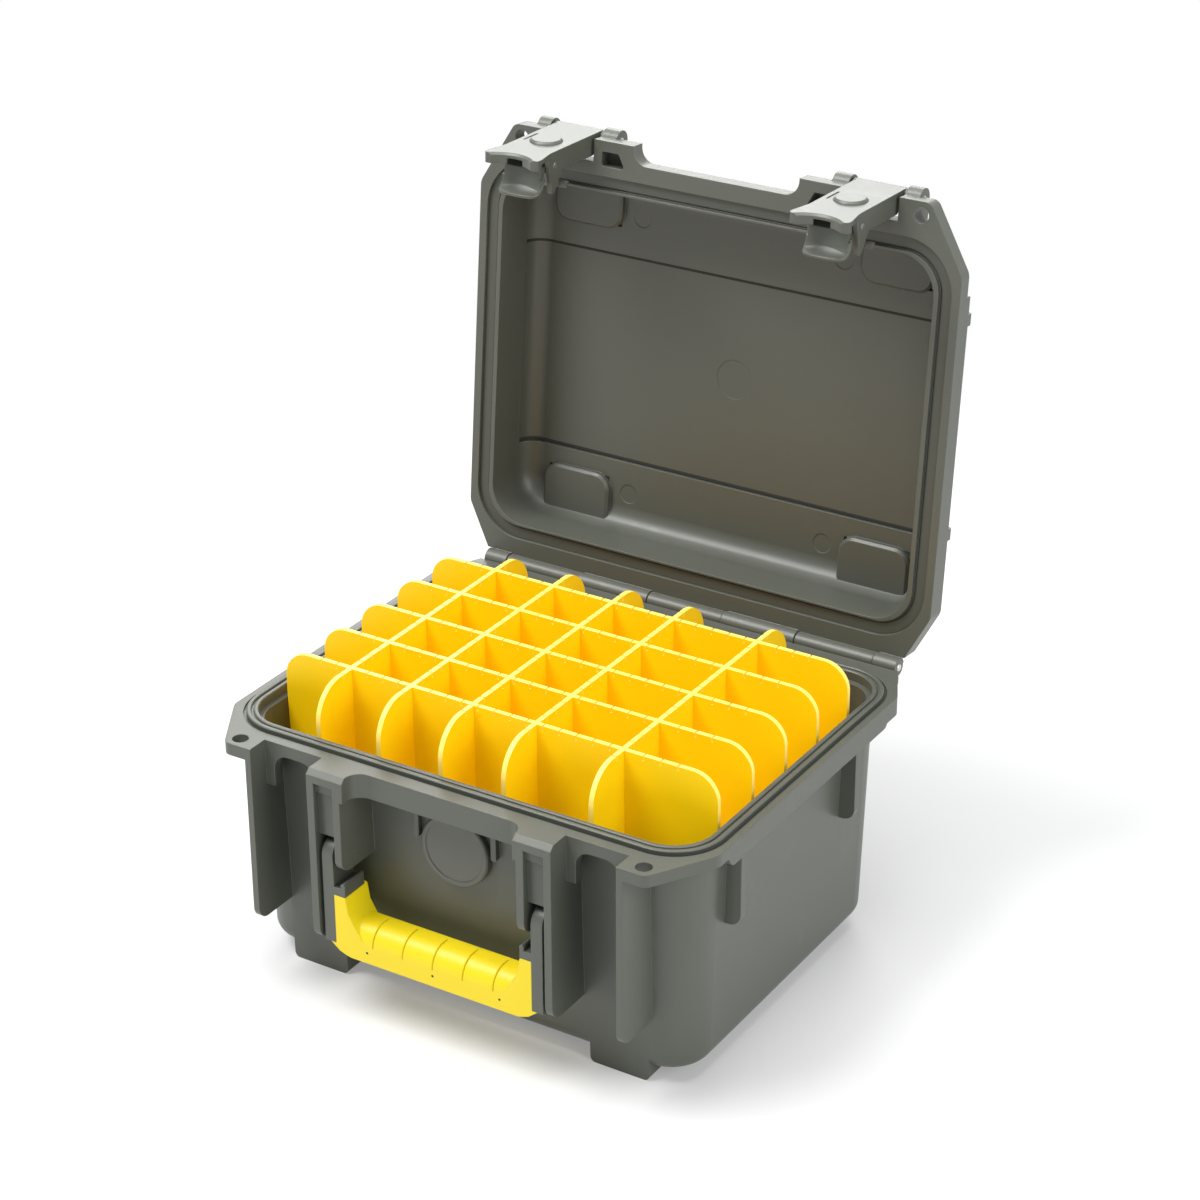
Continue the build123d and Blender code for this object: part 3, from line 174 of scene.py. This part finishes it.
# A moulded surface: base tone with drift, paler rubbed edges, uneven gloss and grain
def plastic(finish):
    look = {**plasticBase, **finish}
    material = bpy.data.materials.new(look["name"])
    material.use_nodes = True
    tree = material.node_tree
    tree.nodes.clear()
    output = addNode(tree, "ShaderNodeOutputMaterial")
    shader = addNode(tree, "ShaderNodeBsdfPrincipled", {"Metallic": look["metallic"]})
    shader.inputs["Specular IOR Level"].default_value = look["specular"]
    # Painted light: a finish with a glow gives off light of its own, which brightens it in shade as in light
    if "glow" in look:
        shader.inputs["Emission Color"].default_value = (*look["glow"], 1)
        shader.inputs["Emission Strength"].default_value = look["glowStrength"]
    tree.links.new(shader.outputs[0], output.inputs["Surface"])
    grain = addNode(tree, "ShaderNodeGroup", node_tree=grainGroup)
    grain.inputs["Grain Scale"].default_value = look["grainScale"]
    grain.inputs["Drift Scale"].default_value = look["driftScale"]
    edge = addNode(tree, "ShaderNodeGroup", node_tree=edgeGroup)
    edge.inputs["Radius"].default_value = look["edgeRadius"]
    drift = addMath(tree, "MULTIPLY", grain.outputs["Drift"], look["drift"])
    tone = addMath(tree, "ADD", drift, middleTone)
    dark = [v * look["low"] for v in look["color"]]
    light = [min(1.0, v * look["high"]) for v in look["color"]]
    color = mixColor(tree, tone, dark, light)
    if "thickness" in look:
        sheet = addNode(tree, "ShaderNodeGroup", node_tree=sheetGroup)
        sheet.inputs["Thickness Axis"].default_value = look["thickness"]
        color = mixColor(tree, sheet.outputs["Edge"], color, look["cutEdge"])
    wear = addMath(tree, "MULTIPLY", edge.outputs["Edge"], look["edgeWear"])
    color = mixColor(tree, wear, color, look.get("wearColor", light))
    tree.links.new(color, shader.inputs["Base Color"])
    gloss = addMath(tree, "MULTIPLY", grain.outputs["Rub"], -look["rub"])
    tree.links.new(addMath(tree, "ADD", gloss, look["roughness"], clamp=True), shader.inputs["Roughness"])
    bump = addNode(tree, "ShaderNodeBump", {"Strength": look["bump"], "Distance": look["bumpDistance"]})
    tree.links.new(grain.outputs["Height"], bump.inputs["Height"])
    tree.links.new(edge.outputs["Normal"], bump.inputs["Normal"])
    tree.links.new(bump.outputs["Normal"], shader.inputs["Normal"])
    return material


# Painted light: the thin yellow sheets glow, standing for the light that comes through them
sheetLook = {"color": (0.96, 0.60, 0.002), "roughness": 0.45, "bump": 0.04, "specular": 0.3,
             "cutEdge": (0.92, 0.68, 0.15), "edgeRadius": 0.0003, "edgeWear": 0.1,
             "glow": (1.0, 0.60, 0.0), "glowStrength": 0.16}
finishes = {
    "shell": {"name": "ShellOlive", "color": (0.081, 0.086, 0.070), "roughness": 0.40, "bump": 0.18,
              "edgeWear": 0.3, "wearColor": (0.18, 0.19, 0.16)},
    # The grip's glow is painted light as well, which brightens its shaded sides
    "grip": {"name": "GripYellow", "color": (0.60, 0.44, 0.008), "roughness": 0.42, "bump": 0.1,
             "specular": 0.35, "edgeRadius": 0.0012, "wearColor": (0.68, 0.52, 0.02),
             "glow": (1.0, 0.88, 0.0), "glowStrength": 0.22},
    "longDivider": {"name": "LongSheet", **sheetLook, "thickness": (0.0, 1.0, 0.0)},
    "crossDivider": {"name": "CrossSheet", **sheetLook, "thickness": (1.0, 0.0, 0.0)},
    "rubber": {"name": "SealRubber", "color": (0.068, 0.071, 0.057), "roughness": 0.55, "bump": 0.1},
    "steel": {"name": "PinSteel", "color": (0.62, 0.62, 0.6), "roughness": 0.3, "bump": 0.02,
              "metallic": 1.0},
    "valve": {"name": "ValveGrey", "color": (0.092, 0.095, 0.079), "roughness": 0.42},
    "membrane": {"name": "Membrane", "color": (0.8, 0.8, 0.78), "roughness": 0.8},
    # Near-black painted shade, for the shadow strips along the lid's band and the grip's marks
    "paintedShade": {"name": "PaintedShadeDark", "color": (0.014, 0.015, 0.011), "roughness": 0.7, "bump": 0.05},
}
materials = {use: plastic(finish) for use, finish in finishes.items()}


def materialFor(node):
    if node.startswith("long_divider"):
        return "longDivider"
    if node.startswith("cross_divider"):
        return "crossDivider"
    slot = next(row["material_slot"] for row in frame["record"]["subparts"] if row["node"] == node)
    return "rubber" if slot == "rubber_seal" else slot


for name, piece in nodes.items():
    piece.data.materials.clear()
    piece.data.materials.append(materials[materialFor(name)])
print("stage: materials on every node")

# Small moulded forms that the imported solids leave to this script
pinLow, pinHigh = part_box("hinge_pin")
hinge = {"y": (pinLow[1] + pinHigh[1]) / 2, "z": (pinLow[2] + pinHigh[2]) / 2, "open": math.radians(95.5)}


# A point of the closed lid, taken to where the open lid holds it
def openLid(x, y, z):
    across, up = y - hinge["y"], z - hinge["z"]
    cosine, sine = math.cos(hinge["open"]), math.sin(hinge["open"])
    return Vector((x, hinge["y"] + across * cosine + up * sine, hinge["z"] - across * sine + up * cosine))


# Joins equal rings of points into one closed skin with capped ends
def addRings(mesh, rings):
    loops = [[mesh.verts.new(point) for point in ring] for ring in rings]
    count = len(loops[0])
    for first, second in zip(loops, loops[1:]):
        for index in range(count):
            after = (index + 1) % count
            mesh.faces.new((first[index], first[after], second[after], second[index]))
    mesh.faces.new(loops[0][::-1])
    mesh.faces.new(loops[-1])


def addPiece(name, mesh, body, material):
    bmesh.ops.recalc_face_normals(mesh, faces=mesh.faces)
    data = bpy.data.meshes.new(name)
    mesh.to_mesh(data)
    mesh.free()
    data.materials.append(materials[material])
    piece = bpy.data.objects.new(name, data)
    bpy.context.scene.collection.objects.link(piece)
    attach(piece, body)


def arcAngles(start, end, steps):
    return [math.radians(start + (end - start) * index / steps) for index in range(steps + 1)]


# Outline of a curved wall as (radius, angle), along its outer face and back along its inner one
def wallOutline(settings, angles):
    return ([(settings["outer"], angle) for angle in angles]
            + [(settings["inner"], angle) for angle in angles[::-1]])


# The object's finished mesh, open for editing, with the object and its modifiers gone
def plainMesh(piece):
    solid = bpy.data.meshes.new_from_object(piece.evaluated_get(bpy.context.evaluated_depsgraph_get()))
    bpy.data.objects.remove(piece)
    skin = bmesh.new()
    skin.from_mesh(solid)
    bpy.data.meshes.remove(solid)
    return skin


# Repeats a form in a row and, where asked, adds the same row turned half round the upright axis
def buildRowTree():
    tree, entry, leave = makeGroup(
        "RowOfForms",
        [("Geometry", "NodeSocketGeometry", None), ("First Place", "NodeSocketVector", (0.0, 0.0, 0.0)),
         ("Step", "NodeSocketVector", (0.01, 0.0, 0.0)), ("Count", "NodeSocketInt", 2),
         ("Turned Row", "NodeSocketBool", False), ("Material", "NodeSocketMaterial", None)],
        [("Geometry", "NodeSocketGeometry")],
        "GeometryNodeTree",
    )
    line = addNode(tree, "GeometryNodeMeshLine", mode="OFFSET")
    copies = addNode(tree, "GeometryNodeInstanceOnPoints")
    turned = addNode(tree, "GeometryNodeTransform", {"Rotation": (0.0, 0.0, math.pi)})
    choose = addNode(tree, "GeometryNodeSwitch", input_type="GEOMETRY")
    join = addNode(tree, "GeometryNodeJoinGeometry")
    realize = addNode(tree, "GeometryNodeRealizeInstances")
    paint = addNode(tree, "GeometryNodeSetMaterial")
    for source, target in (
        (entry.outputs["Count"], line.inputs["Count"]),
        (entry.outputs["First Place"], line.inputs["Start Location"]),
        (entry.outputs["Step"], line.inputs["Offset"]),
        (line.outputs["Mesh"], copies.inputs["Points"]),
        (entry.outputs["Geometry"], copies.inputs["Instance"]),
        (copies.outputs["Instances"], turned.inputs["Geometry"]),
        (entry.outputs["Turned Row"], choose.inputs["Switch"]),
        (turned.outputs["Geometry"], choose.inputs["True"]),
        (copies.outputs["Instances"], join.inputs["Geometry"]),
        (choose.outputs["Output"], join.inputs["Geometry"]),
        (join.outputs["Geometry"], realize.inputs["Geometry"]),
        (realize.outputs["Geometry"], paint.inputs["Geometry"]),
        (entry.outputs["Material"], paint.inputs["Material"]),
        (paint.outputs["Geometry"], leave.inputs["Geometry"]),
    ):
        tree.links.new(source, target)
    return tree


rowTree = buildRowTree()


# Grows one form into the row that its settings give
def repeatInRow(name, mesh, settings, material):
    seed = bpy.data.objects.new(name + "Seed", bpy.data.meshes.new(name + "Seed"))
    mesh.to_mesh(seed.data)
    mesh.free()
    bpy.context.scene.collection.objects.link(seed)
    row = seed.modifiers.new("row", "NODES")
    row.node_group = rowTree
    values = {"First Place": settings["firstPlace"], "Step": settings["step"], "Count": settings["count"],
              "Turned Row": settings["turnedRow"], "Material": materials[material]}
    for socket in rowTree.interface.items_tree:
        if socket.in_out == "INPUT" and socket.name in values:
            row[socket.identifier] = values[socket.name]
    return plainMesh(seed)


hingeRoll = {"spans": ((0.02272, 0.06582), (0.11154, 0.12468)), "inner": 0.0044, "outer": 0.0052,
             "start": 8, "end": 172, "steps": 20}


# Rolled skins over the base's knuckles, which close the sight line under the open lid
def buildHingeRolls():
    mesh = bmesh.new()
    outline = wallOutline(hingeRoll, arcAngles(hingeRoll["start"], hingeRoll["end"], hingeRoll["steps"]))
    for side in (-1, 1):
        for span in hingeRoll["spans"]:
            addRings(mesh, [[(side * x, hinge["y"] + radius * math.cos(angle),
                              hinge["z"] + radius * math.sin(angle)) for radius, angle in outline]
                            for x in span])
    addPiece("hingeRolls", mesh, "base", "shell")


# Two corners of a socket as (place along x, start angle), and the row of sockets along one side of the lid
socketCorner = {"pair": ((0.0, 180), (0.023, 270)), "inner": 0.0075, "outer": 0.00895, "low": 0.1656,
                "high": 0.1712, "arc": 90, "steps": 8, "firstPlace": (-0.102, 0.077, 0.0),
                "step": (0.181, 0.0, 0.0), "count": 2, "turnedRow": True}


# Rounded inner corners of the sockets in the lid that take the feet of a case stacked on top
def buildSocketCorners():
    mesh = bmesh.new()
    for place, start in socketCorner["pair"]:
        angles = arcAngles(start, start + socketCorner["arc"], socketCorner["steps"])
        outline = wallOutline(socketCorner, angles)
        addRings(mesh, [[(place + radius * math.cos(angle), radius * math.sin(angle), socketCorner[level])
                         for radius, angle in outline] for level in ("low", "high")])
    corners = repeatInRow("socketCorners", mesh, socketCorner, "shell")
    for vertex in corners.verts:
        vertex.co = openLid(*vertex.co)
    corners.normal_update()
    addPiece("socketCorners", corners, "lid", "shell")


bandShadowLine = {"places": (-0.0540, 0.0580), "width": 0.0020, "proud": 0.00015, "depth": 0.0004,
              "level": 0.169, "half": 0.1245, "fillet": 0.009, "wall": 0.1585, "arc": 90, "steps": 8}


# Painted shadow: thin dark strips along both edges of the band sunk across the lid's floor, standing for the
# shade that the band's step casts
def buildBandShadowLines():
    mesh = bmesh.new()
    centre = (bandShadowLine["half"] - bandShadowLine["fillet"], bandShadowLine["level"] - bandShadowLine["fillet"])
    turn = arcAngles(0, bandShadowLine["arc"], bandShadowLine["steps"])
    run = [(math.cos(angle), math.sin(angle)) for angle in turn]
    for place in bandShadowLine["places"]:
        rings = []
        path = [(1, 0, bandShadowLine["wall"] - centre[1])] + [(cosine, sine, 0) for cosine, sine in run]
        for side, points in ((1, path), (-1, path[::-1])):
            for cosine, sine, drop in points:
                ring = []
                for depth, shift in ((-bandShadowLine["proud"], -1), (-bandShadowLine["proud"], 1),
                                     (bandShadowLine["depth"], 1), (bandShadowLine["depth"], -1)):
                    radius = bandShadowLine["fillet"] + depth
                    along = place + shift * bandShadowLine["width"] / 2
                    up = centre[1] + radius * sine + drop
                    ring.append(openLid(side * (centre[0] + radius * cosine), along, up))
                rings.append(ring)
        addRings(mesh, rings)
    addPiece("bandShadowLines", mesh, "lid", "paintedShade")


# The profile gives each ring's share of the radius and of how far it stands proud
gateMark = {"profile": ((1.0, -1.0), (1.0, 0.0), (0.6, 1.0)), "sides": 12, "radius": 0.0007, "proud": 0.00008,
            "firstPlace": (-0.0386, -0.1225, 0.0395), "step": (0.0386, 0.0, 0.0), "count": 3,
            "turnedRow": False}


# Pinprick gate marks on the front of the grip, as tiny near-black discs: painted shade standing for the
# hollow of each mark
def buildGateMarks():
    mesh = bmesh.new()
    angles = [math.tau * index / gateMark["sides"] for index in range(gateMark["sides"])]
    addRings(mesh, [[(share * gateMark["radius"] * math.cos(angle), -forward * gateMark["proud"],
                      share * gateMark["radius"] * math.sin(angle)) for angle in angles]
                    for share, forward in gateMark["profile"]])
    addPiece("gateMarks", repeatInRow("gateMarks", mesh, gateMark, "paintedShade"), "handle", "paintedShade")


# Rows of the scoop: along the lever from its pivot, depth under its plate, half width
fingerScoop = {"rows": ((0.0530, 0.0118, 0.0116), (0.0545, 0.0150, 0.0121), (0.0560, 0.0176, 0.0122),
                        (0.0580, 0.0196, 0.0121), (0.0602, 0.0207, 0.0116), (0.0616, 0.0211, 0.0104),
                        (0.0623, 0.0212, 0.0086)),
               "pivotDepth": 0.0042, "pinReach": (0.046, 0.0032), "across": 10, "crown": 0.0009,
               "thickness": 0.0017, "smoothing": 2}


# Flared scoop that a finger pulls, on the free end of each latch's trigger
def buildFingerScoop(side):
    pivot = sum((Vector(corner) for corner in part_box(side + "_latch_pin")), Vector()) / 2
    pin = sum((Vector(corner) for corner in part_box(side + "_trigger_pin")), Vector()) / 2
    reach, sink = fingerScoop["pinReach"]
    lean = math.atan2(pivot.z - pin.z, pivot.y - pin.y) - math.atan2(sink, reach)
    along = Vector((0, -math.cos(lean), -math.sin(lean)))
    under = Vector((0, math.sin(lean), -math.cos(lean)))
    mesh = bmesh.new()
    rows = []
    for distance, depth, half in fingerScoop["rows"]:
        row = []
        for step in range(fingerScoop["across"] + 1):
            share = 2 * step / fingerScoop["across"] - 1
            flare = fingerScoop["crown"] * share ** 2
            place = Vector((pin.x + share * half, pivot.y, pivot.z))
            place += along * (distance - flare) + under * (depth - fingerScoop["pivotDepth"])
            row.append(mesh.verts.new(place))
        rows.append(row)
    for first, second in zip(rows, rows[1:]):
        for index in range(fingerScoop["across"]):
            mesh.faces.new((first[index], first[index + 1], second[index + 1], second[index]))
    bmesh.ops.recalc_face_normals(mesh, faces=mesh.faces)
    sheet = bpy.data.objects.new(side + "ScoopSheet", bpy.data.meshes.new(side + "ScoopSheet"))
    mesh.to_mesh(sheet.data)
    mesh.free()
    bpy.context.scene.collection.objects.link(sheet)
    wall = sheet.modifiers.new("wall", "SOLIDIFY")
    wall.thickness = fingerScoop["thickness"]
    wall.offset = 0
    smoothing = sheet.modifiers.new("smoothing", "SUBSURF")
    smoothing.levels = smoothing.render_levels = fingerScoop["smoothing"]
    scoop = plainMesh(sheet)
    for face in scoop.faces:
        face.smooth = True
    addPiece(side + "FingerScoop", scoop, side + "_trigger", "shell")


buildHingeRolls()
buildSocketCorners()
buildBandShadowLines()
buildGateMarks()
for side in ("left", "right"):
    buildFingerScoop(side)
print("stage: small moulded forms added")

# Floor, light and camera
room = {
    "floorSize": 12.0,
    "floorBounce": 0.85,
    "floorTone": 0.70,
    "whiteNear": 0.25,
    "fadeStart": 0.42,
    "fadeEnd": 0.85,
    "ambient": 0.27,
    "skyTint": (0.96, 0.98, 1.0),
    "aim": (0.0, 0.0, 0.15),
    "key": {"place": (-1.1, -0.9, 2.5), "size": 1.5, "power": 78.0},
    "fill": {"place": (2.3, -0.4, 1.3), "size": 1.8, "power": 33.0},
    "top": {"place": (0.1, 0.2, 2.7), "size": 1.8, "power": 50.0},
    "back": {"place": (-1.32, 2.42, 1.75), "size": 1.8, "power": 42.0},
}


# Shows one shader to camera, glossy and transmission rays and the lit one to every other ray
def whiteToCamera(tree, lit, camera):
    path = addNode(tree, "ShaderNodeLightPath")
    seen = addMath(tree, "ADD", path.outputs["Is Camera Ray"], path.outputs["Is Transmission Ray"])
    seen = addMath(tree, "ADD", seen, path.outputs["Is Glossy Ray"], clamp=True)
    mix = addNode(tree, "ShaderNodeMixShader")
    tree.links.new(seen, mix.inputs[0])
    tree.links.new(lit, mix.inputs[1])
    tree.links.new(camera, mix.inputs[2])
    return mix.outputs[0]


def buildFloor():
    half = room["floorSize"] / 2
    mesh = bpy.data.meshes.new("floor")
    corners = [(-half, -half, 0), (half, -half, 0), (half, half, 0), (-half, half, 0)]
    mesh.from_pydata(corners, [], [(0, 1, 2, 3)])
    floor = bpy.data.objects.new("floor", mesh)
    bpy.context.scene.collection.objects.link(floor)
    material = bpy.data.materials.new("FloorWhite")
    material.use_nodes = True
    tree = material.node_tree
    tree.nodes.clear()
    output = addNode(tree, "ShaderNodeOutputMaterial")
    diffuse = addNode(tree, "ShaderNodeBsdfDiffuse", {"Color": (*[room["floorBounce"]] * 3, 1)})
    shaded = addNode(tree, "ShaderNodeBsdfDiffuse", {"Color": (*[room["floorTone"]] * 3, 1)})
    glow = addNode(tree, "ShaderNodeEmission", {"Color": (1, 1, 1, 1), "Strength": 1.0})
    blend = addNode(tree, "ShaderNodeMixShader")
    place = addNode(tree, "ShaderNodeNewGeometry")
    reach = addNode(tree, "ShaderNodeVectorMath", operation="LENGTH")
    fade = addNode(tree, "ShaderNodeMapRange", {"From Min": room["fadeStart"], "From Max": room["fadeEnd"],
                                                "To Min": room["whiteNear"], "To Max": 1.0})
    tree.links.new(place.outputs["Position"], reach.inputs[0])
    tree.links.new(reach.outputs["Value"], fade.inputs["Value"])
    tree.links.new(fade.outputs["Result"], blend.inputs[0])
    tree.links.new(shaded.outputs[0], blend.inputs[1])
    tree.links.new(glow.outputs[0], blend.inputs[2])
    tree.links.new(whiteToCamera(tree, diffuse.outputs[0], blend.outputs[0]), output.inputs["Surface"])
    mesh.materials.append(material)


def buildWorld():
    world = bpy.data.worlds.new("studio")
    bpy.context.scene.world = world
    world.use_nodes = True
    tree = world.node_tree
    tree.nodes.clear()
    output = addNode(tree, "ShaderNodeOutputWorld")
    tint = {"Color": (*room["skyTint"], 1), "Strength": room["ambient"]}
    lit = addNode(tree, "ShaderNodeBackground", tint)
    seen = addNode(tree, "ShaderNodeBackground", {"Color": (1, 1, 1, 1), "Strength": 1.0})
    tree.links.new(whiteToCamera(tree, lit.outputs[0], seen.outputs[0]), output.inputs["Surface"])


def addArea(name, settings):
    data = bpy.data.lights.new(name, "AREA")
    data.shape = "DISK"
    data.size = settings["size"]
    data.energy = settings["power"]
    lamp = bpy.data.objects.new(name, data)
    lamp.location = settings["place"]
    aim = Vector(room["aim"]) - Vector(settings["place"])
    lamp.rotation_euler = aim.to_track_quat("-Z", "Y").to_euler()
    bpy.context.scene.collection.objects.link(lamp)


# The photograph's own viewpoint round a point on the case. Angles are in degrees, and the focal length and
# the frame in the photograph's pixels
shot = {"azimuth": 31.92, "elevation": 26.58, "roll": -0.26, "distance": 1.565,
        "target": (0.00057, 0.0307, 0.1767), "focal": 3137.2, "frame": 1200.0, "sensor": 36.0, "farEnd": 30.0}


def buildCamera():
    azimuth, elevation = math.radians(shot["azimuth"]), math.radians(shot["elevation"])
    back = Vector((math.sin(azimuth) * math.cos(elevation), -math.cos(azimuth) * math.cos(elevation),
                   math.sin(elevation)))
    data = bpy.data.cameras.new("photoCamera")
    data.sensor_width = shot["sensor"]
    data.lens = shot["sensor"] * shot["focal"] / shot["frame"]
    data.clip_end = shot["farEnd"]
    camera = bpy.data.objects.new("photoCamera", data)
    place = Vector(shot["target"]) + back * shot["distance"]
    turn = (-back).to_track_quat("-Z", "Y").to_matrix() @ Matrix.Rotation(math.radians(shot["roll"]), 3, "Z")
    camera.matrix_world = Matrix.Translation(place) @ turn.to_4x4()
    bpy.context.scene.collection.objects.link(camera)
    bpy.context.scene.camera = camera


buildFloor()
buildWorld()
for name in ("key", "fill", "top", "back"):
    addArea(name, room[name])
buildCamera()
bpy.context.scene.view_settings.view_transform = "Standard"
print("stage: floor, light and camera set")
